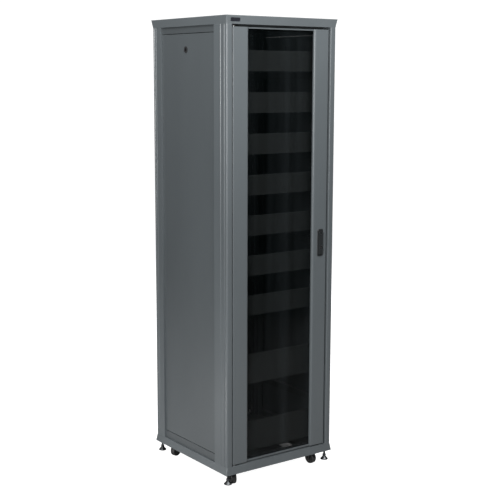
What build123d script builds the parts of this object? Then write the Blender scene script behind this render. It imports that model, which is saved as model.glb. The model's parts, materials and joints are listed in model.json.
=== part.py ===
from build123d import *
from math import cos, radians, sin
import os

os.makedirs("parts", exist_ok=True)

# Overall sizes, millimetres. Origin on the floor under the centre, front towards -Y.
WIDTH = 600.0
DEPTH = 600.0
HEIGHT = 2055.0
FLARE = 4.0
CAP_H = 36.0
BASE_H = 35.0
BASE_Z = 65.0
SHEET = 2.0
DOOR_SHEET = 1.5
PANEL_SHEET = 1.2
RUN = 0.05
HOLE_GAP = 0.4

HALF_W = WIDTH / 2 - FLARE
HALF_D = DEPTH / 2 - FLARE
POST_Z0 = BASE_Z + BASE_H
POST_Z1 = HEIGHT - CAP_H
POST_H = POST_Z1 - POST_Z0
ROOF_Z = HEIGHT - SHEET

# Corner posts.
CORNER = 9.0
SKIRT_CUT = 5.5
FRONT_FACE_W = 30.0
REBATE_D = 33.0
FLANGE_W = 22.0
SIDE_FACE_FRONT = 95.0
SIDE_FACE_REAR = 71.0
PANEL_STOP = 24.0
STOP_W = 16.0
EASE = 4.5
RIB = (28.0, 29.5, 45.5, 47.0)
RIB_DEEP = 1.5
GROOVE = (13.0, 15.0, 18.0, 20.0)
GROOVE_DEEP = 2.5

REBATE_X = HALF_W - FRONT_FACE_W
FLANGE_X = REBATE_X - FLANGE_W
FLANGE_Y = HALF_D - REBATE_D
STOP_X = HALF_W - PANEL_STOP
LIP_FRONT = -HALF_D + SIDE_FACE_FRONT
LIP_REAR = HALF_D - SIDE_FACE_REAR
LIP_Y = (LIP_FRONT + LIP_REAR) / 2

# Top and bottom frames.
SIDE_BAR_W = 30.0
CROSS_BAR_W = 12.0
FRAME_X = STOP_X - SHEET
FRAME_Y = FLANGE_Y - SHEET
BAR_IN_X = FRAME_X - SIDE_BAR_W
FRAME_BOTTOM_Z = BASE_Z + 5
FLOOR_Z = POST_Z0 + 6
TOP_FRAME_Z = POST_Z1 - 13

# Rack rails and the field of rack units.
UNIT = 44.45
UNITS = 42
UNIT_Z = FLOOR_Z + 30.7
HOLE_X = 465.1 / 2
HOLE_STEPS = (6.35, 22.225, 38.1)
SQUARE = 9.5
RAIL_IN = 225.0
RAIL_OUT = 250.0
RAIL_DEEP = 30.0
RAIL_FACE_Y = FRAME_Y - 15
RAIL_Z0 = FLOOR_Z + SHEET
RAIL_TALL = TOP_FRAME_Z - RAIL_Z0
RAIL_Z = (RAIL_Z0 + TOP_FRAME_Z) / 2

# Blanking panels: the lowest unit that each one covers.
PANEL_W = 482.6
PANEL_T = 2.0
PANEL_LIP = 12.0
PANEL_GAP = 0.8
PANELS_2U = (38, 34, 30, 26, 22, 18, 14)
PANELS_3U = (7, 0)
SCREW_R = 3.0
SCREW_HEAD_R = 5.5
SCREW_HEAD_H = 3.0
SCREW_TAIL = 3.0
NUT_SIZE = 11.0
NUT_T = 6.0

# Doors.
DOOR_GAP = 5.0
DOOR_W = 2 * (REBATE_X - DOOR_GAP)
DOOR_HALF = DOOR_W / 2
DOOR_Z0 = POST_Z0 + 6
DOOR_Z1 = POST_Z1 - 10.5
DOOR_Z = (DOOR_Z0 + DOOR_Z1) / 2
DOOR_TALL = DOOR_Z1 - DOOR_Z0
DOOR_FACE = HALF_D - 5
DOOR_BACK = FLANGE_Y + 2.5
STILE_W = 83.0
STILE_IN = DOOR_HALF - STILE_W
GLASS_FLANGE = 22.0
GLASS_FLANGE_Y = DOOR_FACE - 12.5
BACK_FLANGE = 22.0
OUTER_R = 7.0
INNER_R = 10.0
DOOR_RAIL_H = 6.0
DOOR_RAIL_SET = 6.0
SEAL_T = 1.5
GLASS_T = 4.0
GLASS_LAP = 20.0
PIN_R = 3.0
PIN_IN = 14.0
PIN_X = DOOR_HALF - 8
PIN_Y = DOOR_FACE - 6.5
BUSH_R = 4.8
BUSH_H = 12.0
LUG_T = 3.0
FACE_IN = DOOR_FACE - DOOR_SHEET

# Swing handle.
HANDLE_X = DOOR_HALF - 39
ROTOR_Z = 1106.0
LOCK_Z = ROTOR_Z - 66
ESC_W = 32.0
ESC_Z0 = ROTOR_Z - 107
ESC_Z1 = ROTOR_Z + 16
ESC_T = 3.0
ROTOR_R = 10.0
ROTOR_RISE = 0.3
SHAFT_R = 5.0
SQUARE_END = 7.0
CAM_T = 3.0
CAM_LEN = 34.0
CAM_W = 12.0
CAM_FACE = FLANGE_Y - 3
LEVER_W = 24.0
LEVER_T = 5.2
LEVER_Z0 = ROTOR_Z - 98
LEVER_BACK = DOOR_FACE + ESC_T + 2 * ROTOR_RISE
LUG_W = 10.0
PIVOT_R = 1.5
PLUG_R = 7.0
KEY_W = 1.2
KEY_L = 7.0

# Side panels.
RECESS = 8.0
SIDE_FACE_X = HALF_W - RECESS
PANEL_DEEP = SIDE_FACE_X - STOP_X - 2
PANEL_EDGE = 1.5
STRIP_LOW = POST_Z0 + 34
STRIP_HIGH = POST_Z1 - 29
STRIP_GAP = 3.0
SIDE_LOCK_Y = 28.0
SIDE_LOCK_Z = STRIP_HIGH - 71
BARREL_R = 14.0
BARREL_BODY_R = 9.5
BARREL_LIP = 2.0
BARREL_LEN = 18.0
SIDE_PLUG_R = 6.0
SIDE_CAM_LEN = 28.0

# Casters and levelling feet: each caster's side, end and swivel angle.
CASTER_X = FRAME_X - 50
CASTER_Y = FRAME_Y - 41
CASTER_ANGLES = ((-1, -1, 162.0), (1, -1, 187.0), (-1, 1, 106.0), (1, 1, -60.0))
WHEEL_R = 27.0
WHEEL_W = 24.0
TRAIL = 22.0
PLATE = 60.0
PLATE_T = 3.0
KING_R = 6.0
KING_HEAD_R = 9.0
AXLE_R = 4.0
FORK_T = 2.5
FORK_TOP_T = 4.0
FORK_TOP_R = 20.0
FORK_GAP = 1.0
FORK_TOP_Z = FRAME_BOTTOM_Z - 8
FOOT_X = FRAME_X + 7
FOOT_Y = FRAME_Y + 16
FOOT_R = 18.0
FOOT_Z = 18.0
STEM_R = 5.0

# Roof fans.
FAN_X = 70.0
FAN_Y = 40.0
FAN_SIZE = 119.0
FAN_H = 25.0
FAN_BORE = 57.0
HUB_R = 21.0
HUB_H = 20.0
BLADES = 7
TIP_GAP = 1.5
SPINDLE_R = 2.0
GUARD_T = 2.0
FAN_TOP = ROOF_Z - GUARD_T
FAN_SPOTS = ((-FAN_X, FAN_Y), (FAN_X, FAN_Y))

UP = (Align.CENTER, Align.CENTER, Align.MIN)
DOWN = (Align.CENTER, Align.CENTER, Align.MAX)


def ring_points(half_w, half_d, cut):
    """Corner points of a rectangle whose four corners are cut off by the given length."""
    points = []
    for sx, sy in ((1, -1), (1, 1), (-1, 1), (-1, -1)):
        along_x = (sx * (half_w - cut), sy * half_d)
        along_y = (sx * half_w, sy * (half_d - cut))
        points += [along_x, along_y] if sx * sy < 0 else [along_y, along_x]
    return points


def post_profile(side_face):
    """Outer line of a front left post, from the panel stop round to the door flange."""
    lip = -HALF_D + side_face
    return [
        (-STOP_X, lip + STOP_W),
        (-STOP_X, lip),
        (-HALF_W, lip),
        (-HALF_W, -HALF_D + RIB[3]),
        (-HALF_W + RIB_DEEP, -HALF_D + RIB[2]),
        (-HALF_W + RIB_DEEP, -HALF_D + RIB[1]),
        (-HALF_W, -HALF_D + RIB[0]),
        (-HALF_W, -HALF_D + GROOVE[3]),
        (-HALF_W + GROOVE_DEEP, -HALF_D + GROOVE[2]),
        (-HALF_W + GROOVE_DEEP, -HALF_D + GROOVE[1]),
        (-HALF_W, -HALF_D + GROOVE[0]),
        (-HALF_W, -HALF_D),
        (-REBATE_X, -HALF_D),
        (-REBATE_X, -FLANGE_Y),
        (-FLANGE_X, -FLANGE_Y),
    ]


def folded(points, thickness):
    """Closed outline of sheet folded along a line, its thickness on the left of the line."""
    inner = []
    for index, (x, y) in enumerate(points):
        before = Vector(*points[max(index - 1, 0)])
        here = Vector(x, y)
        after = Vector(*points[min(index + 1, len(points) - 1)])
        leave = (after - here) if index < len(points) - 1 else (here - before)
        arrive = (here - before) if index else leave
        left_in = Vector(-arrive.Y, arrive.X).normalized()
        left_out = Vector(-leave.Y, leave.X).normalized()
        mitre = (left_in + left_out).normalized()
        shift = mitre * (thickness / mitre.dot(left_out))
        inner.append((here.X + shift.X, here.Y + shift.Y))
    return [*points, *reversed(inner)]


# Corner posts: folded sheet, the rear pair with a narrower side face.
posts = {}
for post_name, face, sx, sy in (
    ("post_front_left", SIDE_FACE_FRONT, 1, 1),
    ("post_front_right", SIDE_FACE_FRONT, -1, 1),
    ("post_rear_left", SIDE_FACE_REAR, 1, -1),
    ("post_rear_right", SIDE_FACE_REAR, -1, -1),
):
    with BuildPart() as post:
        with BuildSketch(Plane.XY.offset(POST_Z0)) as section:
            with BuildLine():
                Polyline(*folded(post_profile(face), SHEET), close=True)
            make_face()
            for outer, inner, radius in (
                ((-HALF_W, -HALF_D), (-HALF_W + SHEET, -HALF_D + SHEET), CORNER),
                ((-REBATE_X, -HALF_D), (-REBATE_X - SHEET, -HALF_D + SHEET), EASE),
            ):
                fillet(section.vertices().sort_by_distance(outer)[0], radius)
                fillet(section.vertices().sort_by_distance(inner)[0], radius - SHEET)
            if sx < 0:
                mirror(about=Plane.YZ, mode=Mode.REPLACE)
            if sy < 0:
                mirror(about=Plane.XZ, mode=Mode.REPLACE)
        extrude(amount=POST_H)
    posts[post_name] = post.part.solid()

# Frames: box bars, two along the sides and two across.
frames = {}
for frame_name, low, high in (
    ("bottom_frame", FRAME_BOTTOM_Z, FLOOR_Z),
    ("top_frame", TOP_FRAME_Z, ROOF_Z),
):
    with BuildPart() as frame:
        for side in (-1, 1):
            middle = side * (FRAME_X - SIDE_BAR_W / 2)
            with Locations((middle, 0, (low + high) / 2)):
                Box(SIDE_BAR_W, 2 * FRAME_Y, high - low)
                Box(
                    SIDE_BAR_W - 2 * SHEET,
                    2 * FRAME_Y,
                    high - low - 2 * SHEET,
                    mode=Mode.SUBTRACT,
                )
    side_bars = frame.part
    with BuildPart() as cross:
        for end in (-1, 1):
            middle = end * (FRAME_Y - CROSS_BAR_W / 2)
            with Locations((0, middle, (low + high) / 2)):
                Box(2 * BAR_IN_X, CROSS_BAR_W, high - low)
                Box(
                    2 * BAR_IN_X,
                    CROSS_BAR_W - 2 * SHEET,
                    high - low - 2 * SHEET,
                    mode=Mode.SUBTRACT,
                )
    frames[frame_name] = Compound(children=[*side_bars.solids(), *cross.part.solids()])

# Flared skirts: a mitred ring of sheet for the cap and one for the base.
skirts = {}
for skirt_name, wide_z, narrow_z, ledge in (
    ("roof_fascia", ROOF_Z, POST_Z1, False),
    ("base_plinth", BASE_Z, POST_Z0, True),
):
    with BuildPart() as skirt:
        for inset, operation in ((0.0, Mode.ADD), (SHEET, Mode.SUBTRACT)):
            with BuildSketch(Plane.XY.offset(narrow_z)):
                with BuildLine():
                    Polyline(*ring_points(HALF_W - inset, HALF_D - inset, SKIRT_CUT), close=True)
                make_face()
            with BuildSketch(Plane.XY.offset(wide_z)):
                with BuildLine():
                    Polyline(
                        *ring_points(WIDTH / 2 - inset, DEPTH / 2 - inset, 1.0),
                        close=True,
                    )
                make_face()
            loft(mode=operation)
        if ledge:
            with BuildSketch(Plane.XY.offset(narrow_z - SHEET)):
                with BuildLine():
                    Polyline(*ring_points(HALF_W - 0.5, HALF_D - 0.5, CORNER), close=True)
                make_face()
                Rectangle(2 * FRAME_X, 2 * FRAME_Y, mode=Mode.SUBTRACT)
                with GridLocations(2 * FOOT_X, 2 * FOOT_Y, 2, 2):
                    Circle(STEM_R + 1, mode=Mode.SUBTRACT)
            extrude(amount=SHEET)
    lengths = []
    corners = ((-WIDTH, -DEPTH), (WIDTH, -DEPTH), (WIDTH, DEPTH), (-WIDTH, DEPTH))
    for index, corner in enumerate(corners):
        with BuildPart() as wedge:
            with BuildSketch():
                with BuildLine():
                    Polyline((0, 0), corner, corners[index - 1], close=True)
                make_face()
            extrude(amount=HEIGHT)
        lengths += (skirt.part & wedge.part).solids()
    skirts[skirt_name] = Compound(children=lengths)

# Roof sheet with two fan openings, a cable slot and four lifting eye holes.
SLOT_W = 300.0
SLOT_D = 60.0
SLOT_Y = FRAME_Y - 68
EYE_X = WIDTH / 2 - 50
EYE_Y = DEPTH / 2 - 50
EYE_R = 6.1
with BuildPart() as roof_panel:
    with BuildSketch(Plane.XY.offset(ROOF_Z)):
        Rectangle(WIDTH, DEPTH)
        with Locations(*FAN_SPOTS):
            Circle(FAN_BORE, mode=Mode.SUBTRACT)
        with Locations((0, SLOT_Y)):
            Rectangle(SLOT_W, SLOT_D, mode=Mode.SUBTRACT)
        with GridLocations(2 * EYE_X, 2 * EYE_Y, 2, 2):
            Circle(EYE_R, mode=Mode.SUBTRACT)
    extrude(amount=SHEET)

# Cable brush: two strips of bristle with a carrier along each long edge of the slot.
CARRIER_W = 12.0
CARRIER_H = 6.0
CARRIER_LAP = 7.0
BRISTLE_GAP = 4.6
BRISTLE_T = 2.0
with BuildPart() as cable_brush:
    for side in (-1, 1):
        carrier_y = SLOT_D / 2 + CARRIER_LAP - CARRIER_W / 2
        with Locations((0, SLOT_Y + side * carrier_y, ROOF_Z)):
            Box(SLOT_W + 2 * CARRIER_LAP, CARRIER_W, CARRIER_H, align=DOWN)
        bristle = carrier_y - CARRIER_W / 2 - BRISTLE_GAP / 2
        with Locations((0, SLOT_Y + side * (BRISTLE_GAP + bristle) / 2, ROOF_Z - CARRIER_H / 2)):
            Box(SLOT_W, bristle, BRISTLE_T)

# Floor sheet with a cable slot near the front and two fields of vent slots.
FLOOR_SLOT_X = 120.0
FLOOR_SLOT_D = 54.0
FLOOR_SLOT_Y = -FRAME_Y + CROSS_BAR_W + FLOOR_SLOT_D / 2 + 2
FLOOR_EDGE = 0.5
VENT_W = 110.0
VENT_H = 8.0
VENT_STEP = 22.0
with BuildPart() as floor_panel:
    with BuildSketch(Plane.XY.offset(FLOOR_Z)):
        Rectangle(2 * (FRAME_X - FLOOR_EDGE), 2 * (FRAME_Y - FLOOR_EDGE))
        with Locations((0, FLOOR_SLOT_Y)):
            Rectangle(2 * FLOOR_SLOT_X, FLOOR_SLOT_D, mode=Mode.SUBTRACT)
        with Locations((0, FAN_Y)):
            with GridLocations(VENT_W + 70, VENT_STEP, 2, 9):
                SlotOverall(VENT_W, VENT_H, mode=Mode.SUBTRACT)
    extrude(amount=SHEET)

# Sliding cover of the floor slot and the two strips that guide it.
COVER_OPEN = 63.0
COVER_EDGE = 3.0
COVER_LIFT = 0.1
GUIDE_GAP = 0.25
GUIDE_T = 2.0
GUIDE_H = 4.0
COVER_X0 = -FLOOR_SLOT_X - 5
COVER_X1 = FLOOR_SLOT_X - COVER_OPEN
COVER_D = FLOOR_SLOT_D + 2 * COVER_EDGE
with BuildPart() as floor_cable_cover:
    with Locations(((COVER_X0 + COVER_X1) / 2, FLOOR_SLOT_Y, RAIL_Z0 + COVER_LIFT)):
        Box(COVER_X1 - COVER_X0, COVER_D, DOOR_SHEET, align=UP)
    with Locations((COVER_X1 - 6, FLOOR_SLOT_Y, RAIL_Z0 + COVER_LIFT)):
        Box(2, COVER_D - 20, 8, align=UP)
with BuildPart() as cover_guides:
    for side in (-1, 1):
        guide_y = FLOOR_SLOT_Y + side * (COVER_D / 2 + GUIDE_GAP + GUIDE_T / 2)
        with Locations((0, guide_y, RAIL_Z0)):
            Box(2 * RAIL_IN - 20, GUIDE_T, GUIDE_H, align=UP)

# Recessed strips above and below each side panel.
with BuildPart() as side_strips:
    for side in (-1, 1):
        for low, high in ((POST_Z0, STRIP_LOW), (STRIP_HIGH, POST_Z1)):
            with Locations((side * (SIDE_FACE_X + STOP_X) / 2, LIP_Y, (low + high) / 2)):
                Box(SIDE_FACE_X - STOP_X, LIP_REAR - LIP_FRONT - 2 * FLOOR_EDGE, high - low)

# Rack rails: an angle with a row of square holes, one at each corner of the field.
rails = {}
for rail_name, sx, sy in (
    ("rack_rail_front_left", -1, -1),
    ("rack_rail_front_right", 1, -1),
    ("rack_rail_rear_left", -1, 1),
    ("rack_rail_rear_right", 1, 1),
):
    face_y = sy * RAIL_FACE_Y
    with BuildPart() as rail:
        with BuildSketch(Plane.XZ.offset(-face_y)):
            with Locations((sx * (RAIL_IN + RAIL_OUT) / 2, RAIL_Z)):
                Rectangle(RAIL_OUT - RAIL_IN, RAIL_TALL)
            for unit in range(UNITS):
                for step in HOLE_STEPS:
                    with Locations((sx * HOLE_X, UNIT_Z + unit * UNIT + step)):
                        Rectangle(SQUARE, SQUARE, mode=Mode.SUBTRACT)
        extrude(amount=sy * SHEET)
        with Locations((sx * (RAIL_OUT - SHEET / 2), face_y - sy * RAIL_DEEP / 2, RAIL_Z)):
            Box(SHEET, RAIL_DEEP, RAIL_TALL)
    rails[rail_name] = rail.part.solid()

# Depth braces between the rack rails and the posts.
BRACE_H = 30.0
BRACE_STEP = 750.0
with BuildPart() as rail_braces:
    for side in (-1, 1):
        for step in (-1, 0, 1):
            with Locations((side * (RAIL_OUT + FRAME_X) / 2, 0, RAIL_Z + step * BRACE_STEP)):
                Box(FRAME_X - RAIL_OUT, 2 * RAIL_FACE_Y - 2, BRACE_H)

# Blanking panels with a turned lip at top and bottom, and the screws and nuts that hold them.
panel_fields = ((PANELS_2U, 2), (PANELS_3U, 3))
fastener_points = []
blanks = {}
for places, tall in panel_fields:
    with BuildPart() as blank:
        for unit in places:
            low = UNIT_Z + unit * UNIT + PANEL_GAP / 2
            high = UNIT_Z + (unit + tall) * UNIT - PANEL_GAP / 2
            with Locations((0, -RAIL_FACE_Y - PANEL_T / 2, (low + high) / 2)):
                Box(PANEL_W, PANEL_T, high - low)
            for edge in (low + PANEL_T / 2, high - PANEL_T / 2):
                with Locations((0, -RAIL_FACE_Y + PANEL_LIP / 2, edge)):
                    Box(2 * RAIL_IN - 6, PANEL_LIP, PANEL_T)
            holes = (
                UNIT_Z + unit * UNIT + HOLE_STEPS[0],
                UNIT_Z + (unit + tall - 1) * UNIT + HOLE_STEPS[2],
            )
            for side in (-1, 1):
                fastener_points += [(side * HOLE_X, hole) for hole in holes]
                with BuildSketch(Plane.XZ.offset(RAIL_FACE_Y)):
                    with Locations(*[(side * HOLE_X, hole) for hole in holes]):
                        SlotOverall(SQUARE, 2 * SCREW_R + 0.6)
                extrude(amount=PANEL_T, mode=Mode.SUBTRACT)
    blanks[f"blank_panels_{tall}u"] = blank.part

with BuildPart() as panel_screws:
    with BuildSketch(Plane.XZ.offset(RAIL_FACE_Y + PANEL_T)):
        with Locations(*fastener_points):
            Circle(SCREW_HEAD_R)
    extrude(amount=SCREW_HEAD_H)
    with BuildSketch(Plane.XZ.offset(RAIL_FACE_Y + PANEL_T)):
        with Locations(*fastener_points):
            Circle(SCREW_R)
    extrude(amount=-(PANEL_T + SHEET + NUT_T + SCREW_TAIL))
    with BuildSketch(Plane.XZ.offset(RAIL_FACE_Y + PANEL_T + SCREW_HEAD_H)):
        with Locations(*fastener_points):
            Rectangle(KEY_L, KEY_W)
            Rectangle(KEY_W, KEY_L)
    extrude(amount=-1.6, mode=Mode.SUBTRACT)

with BuildPart() as cage_nuts:
    with BuildSketch(Plane.XZ.offset(RAIL_FACE_Y - SHEET)):
        with Locations(*fastener_points):
            Rectangle(NUT_SIZE, NUT_SIZE)
            Circle(SCREW_R, mode=Mode.SUBTRACT)
    extrude(amount=-NUT_T)

# Glass door: two folded stiles with end plates, thin rails between them.
GLASS_Y = -GLASS_FLANGE_Y + SEAL_T
stiles = {}
for stile_name, sx in (("door_stile_hinge", -1), ("door_stile_lock", 1)):
    with BuildPart() as stile:
        for low, tall, hollow in (
            (DOOR_Z0, DOOR_SHEET, False),
            (DOOR_Z0 + DOOR_SHEET, DOOR_TALL - 2 * DOOR_SHEET, True),
            (DOOR_Z1 - DOOR_SHEET, DOOR_SHEET, False),
        ):
            with BuildSketch(Plane.XY.offset(low)) as section:
                with Locations(((STILE_IN + DOOR_HALF) / 2, -(DOOR_FACE + DOOR_BACK) / 2)):
                    Rectangle(STILE_W, DOOR_FACE - DOOR_BACK)
                for place, radius in ((STILE_IN, INNER_R), (DOOR_HALF, OUTER_R)):
                    fillet(section.vertices().sort_by_distance((place, -DOOR_FACE))[0], radius)
                if hollow:
                    bend_in = (STILE_IN + INNER_R, -DOOR_FACE + INNER_R)
                    bend_out = (DOOR_HALF - OUTER_R, -DOOR_FACE + OUTER_R)
                    with BuildLine():
                        CenterArc(bend_in, INNER_R - DOOR_SHEET, 180, 90)
                        Line((bend_in[0], -FACE_IN), (bend_out[0], -FACE_IN))
                        CenterArc(bend_out, OUTER_R - DOOR_SHEET, 270, 90)
                        Polyline(
                            (DOOR_HALF - DOOR_SHEET, bend_out[1]),
                            (DOOR_HALF - DOOR_SHEET, -DOOR_BACK - DOOR_SHEET),
                            (DOOR_HALF - BACK_FLANGE, -DOOR_BACK - DOOR_SHEET),
                            (DOOR_HALF - BACK_FLANGE, -DOOR_BACK + 1),
                            (STILE_IN + GLASS_FLANGE, -DOOR_BACK + 1),
                            (STILE_IN + GLASS_FLANGE, -GLASS_FLANGE_Y - DOOR_SHEET),
                            (STILE_IN + DOOR_SHEET, -GLASS_FLANGE_Y - DOOR_SHEET),
                            (STILE_IN + DOOR_SHEET, bend_in[1]),
                        )
                    make_face(mode=Mode.SUBTRACT)
                with Locations((STILE_IN + GLASS_FLANGE / 2, -GLASS_FLANGE_Y)):
                    Rectangle(
                        GLASS_FLANGE,
                        GLASS_FLANGE_Y - DOOR_BACK,
                        align=(Align.CENTER, Align.MIN),
                        mode=Mode.SUBTRACT,
                    )
                if sx < 0:
                    mirror(about=Plane.YZ, mode=Mode.REPLACE)
            extrude(amount=tall)
        if sx < 0:
            with Locations((-PIN_X, -PIN_Y, DOOR_Z)):
                Cylinder(PIN_R + RUN, DOOR_TALL, mode=Mode.SUBTRACT)
        else:
            with BuildSketch(Plane.XZ.offset(DOOR_FACE)):
                with Locations((HANDLE_X, ROTOR_Z)):
                    Circle(ROTOR_R + HOLE_GAP)
            extrude(amount=-DOOR_SHEET, mode=Mode.SUBTRACT)
    stiles[stile_name] = stile.part

with BuildPart() as door_rails:
    rail_deep = DOOR_FACE - DOOR_RAIL_SET - GLASS_FLANGE_Y
    for end in (-1, 1):
        rail_z = DOOR_Z + end * (DOOR_TALL - DOOR_RAIL_H) / 2
        with Locations((0, -GLASS_FLANGE_Y - rail_deep / 2, rail_z)):
            Box(2 * STILE_IN, rail_deep, DOOR_RAIL_H)
            Box(
                2 * STILE_IN,
                rail_deep - 2 * DOOR_SHEET,
                DOOR_RAIL_H - 2 * DOOR_SHEET,
                mode=Mode.SUBTRACT,
            )

with BuildPart() as door_glass:
    with BuildSketch(Plane.XZ.offset(-GLASS_Y)):
        with Locations((0, DOOR_Z)):
            Rectangle(2 * (STILE_IN + GLASS_LAP), DOOR_TALL - 2 * DOOR_SHEET - 1)
    extrude(amount=-GLASS_T)

SEAL_W = 12.0
SEAL_IN = 2.0
SEAL_SHORT = 8.0
EDGE_SEAL_W = 14.0
EDGE_SEAL_T = 1.7
with BuildPart() as door_seals:
    for side in (-1, 1):
        with Locations((side * (STILE_IN + SEAL_IN + SEAL_W / 2), GLASS_Y - SEAL_T / 2, DOOR_Z)):
            Box(SEAL_W, SEAL_T, DOOR_TALL - SEAL_SHORT)
        with Locations((side * (DOOR_HALF - 10), -DOOR_BACK + EDGE_SEAL_T / 2, DOOR_Z)):
            Box(EDGE_SEAL_W, EDGE_SEAL_T, DOOR_TALL - SEAL_SHORT)
        with Locations((0, GLASS_Y - SEAL_T / 2, DOOR_Z + side * (DOOR_TALL - DOOR_RAIL_H - 2) / 2)):
            Box(2 * STILE_IN, SEAL_T, SEAL_SHORT / 2)

# Bushes in the door ends and the frame lugs whose pins turn in them.
with BuildPart() as door_bushes:
    for low in (DOOR_Z0 + DOOR_SHEET, DOOR_Z1 - DOOR_SHEET - BUSH_H):
        with Locations((-PIN_X, -PIN_Y, low + BUSH_H / 2)):
            Cylinder(BUSH_R, BUSH_H)
            Cylinder(PIN_R + RUN, BUSH_H, mode=Mode.SUBTRACT)

lug_sets = {}
for lug_name, sx, sy in (("hinge_lugs", -1, -1), ("rear_hinge_lugs", 1, 1)):
    with BuildPart() as lugs:
        low_top = POST_Z0 + LUG_T
        high_bottom = DOOR_Z1 + LUG_T
        lug_deep = PIN_Y + 5 - FLANGE_Y
        for base in (POST_Z0, high_bottom):
            with Locations((sx * PIN_X, sy * (FLANGE_Y + lug_deep / 2), base)):
                Box(4 * PIN_R, lug_deep, LUG_T, align=UP)
        for base, tall in ((low_top, PIN_IN), (high_bottom, -PIN_IN)):
            with BuildSketch(Plane.XY.offset(base)):
                with Locations((sx * PIN_X, sy * PIN_Y)):
                    Circle(PIN_R)
            extrude(amount=tall)
    lug_sets[lug_name] = lugs.part.solids()

# Rear door: a sheet pan with two vented fields.
REAR_VENT_ROWS = 12
REAR_VENT_STEP = 14.0
REAR_VENT_H = 6.0
REAR_VENT_Z = 677.5
with BuildPart() as rear_door:
    with Locations((0, (DOOR_FACE + DOOR_BACK) / 2, DOOR_Z)):
        Box(DOOR_W, DOOR_FACE - DOOR_BACK, DOOR_TALL)
    upright = rear_door.edges().filter_by(Axis.Z).group_by(Axis.Y)[-1]
    fillet(upright, OUTER_R)
    inner_back = rear_door.faces().sort_by(Axis.Y)[0]
    offset(amount=-DOOR_SHEET, openings=inner_back)
    with Locations((PIN_X, PIN_Y, DOOR_Z)):
        Cylinder(PIN_R + RUN, DOOR_TALL, mode=Mode.SUBTRACT)
    with BuildSketch(Plane.XZ.offset(-DOOR_FACE)):
        with Locations((0, DOOR_Z - REAR_VENT_Z), (0, DOOR_Z + REAR_VENT_Z)):
            with GridLocations(VENT_W + 20, REAR_VENT_STEP, 3, REAR_VENT_ROWS):
                SlotOverall(VENT_W, REAR_VENT_H)
        with Locations((-HANDLE_X, ROTOR_Z)):
            Circle(BARREL_BODY_R + HOLE_GAP)
    extrude(amount=DOOR_SHEET, mode=Mode.SUBTRACT)

with BuildPart() as rear_bushes:
    for low in (DOOR_Z0 + DOOR_SHEET, DOOR_Z1 - DOOR_SHEET - BUSH_H):
        with Locations((PIN_X, PIN_Y, low + BUSH_H / 2)):
            Cylinder(BUSH_R, BUSH_H)
            Cylinder(PIN_R + RUN, BUSH_H, mode=Mode.SUBTRACT)

# Swing handle: escutcheon, body behind the stile, rotor, cam, lever and key plug.
ESC_Z = (ESC_Z0 + ESC_Z1) / 2
BODY_W = 30.0
BODY_H = 42.0
BODY_BACK = DOOR_BACK + 3.5
with BuildPart() as handle_escutcheon:
    with BuildSketch(Plane.XZ.offset(DOOR_FACE)):
        with Locations((HANDLE_X, ESC_Z)):
            RectangleRounded(ESC_W, ESC_Z1 - ESC_Z0, 6)
        with Locations((HANDLE_X, ROTOR_Z)):
            Circle(ROTOR_R + RUN, mode=Mode.SUBTRACT)
    extrude(amount=ESC_T)
    chamfer(handle_escutcheon.faces().sort_by(Axis.Y)[0].outer_wire().edges(), 1.2)

with BuildPart() as lock_housing:
    with BuildSketch(Plane.XZ.offset(BODY_BACK)):
        with Locations((HANDLE_X, ROTOR_Z)):
            Rectangle(BODY_W, BODY_H)
            Circle(SHAFT_R + RUN, mode=Mode.SUBTRACT)
    extrude(amount=FACE_IN - BODY_BACK)

PIVOT_Y = -(LEVER_BACK + LEVER_T / 2)
LUG_TIP = LEVER_BACK + LEVER_T - 0.5
ROTOR_TOP = DOOR_FACE + ESC_T + ROTOR_RISE
with BuildPart() as handle_rotor:
    with BuildSketch(Plane.XZ.offset(FACE_IN)):
        with Locations((HANDLE_X, ROTOR_Z)):
            Circle(ROTOR_R)
    extrude(amount=ROTOR_TOP - FACE_IN)
    with BuildSketch(Plane.XZ.offset(ROTOR_TOP)):
        with Locations((HANDLE_X, ROTOR_Z)):
            Rectangle(LUG_W, LUG_W)
    extrude(amount=LUG_TIP - ROTOR_TOP)
    with BuildSketch(Plane.XZ.offset(FACE_IN)):
        with Locations((HANDLE_X, ROTOR_Z)):
            Circle(SHAFT_R)
    extrude(amount=-(FACE_IN - CAM_FACE))
    with BuildSketch(Plane.XZ.offset(CAM_FACE)):
        with Locations((HANDLE_X, ROTOR_Z)):
            Rectangle(SQUARE_END, SQUARE_END)
    extrude(amount=-(CAM_T + 1.5))
    with Locations((HANDLE_X, PIVOT_Y, ROTOR_Z)):
        Cylinder(PIVOT_R + RUN, LUG_W, rotation=(0, 90, 0), mode=Mode.SUBTRACT)

with BuildPart() as latch_cam:
    with BuildSketch(Plane.XZ.offset(CAM_FACE)):
        with Locations((HANDLE_X, ROTOR_Z + CAM_LEN / 2 - CAM_W / 4)):
            RectangleRounded(CAM_W, CAM_LEN + CAM_W / 2, 3)
        with Locations((HANDLE_X, ROTOR_Z)):
            Rectangle(SQUARE_END, SQUARE_END, mode=Mode.SUBTRACT)
    extrude(amount=-CAM_T)

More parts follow.
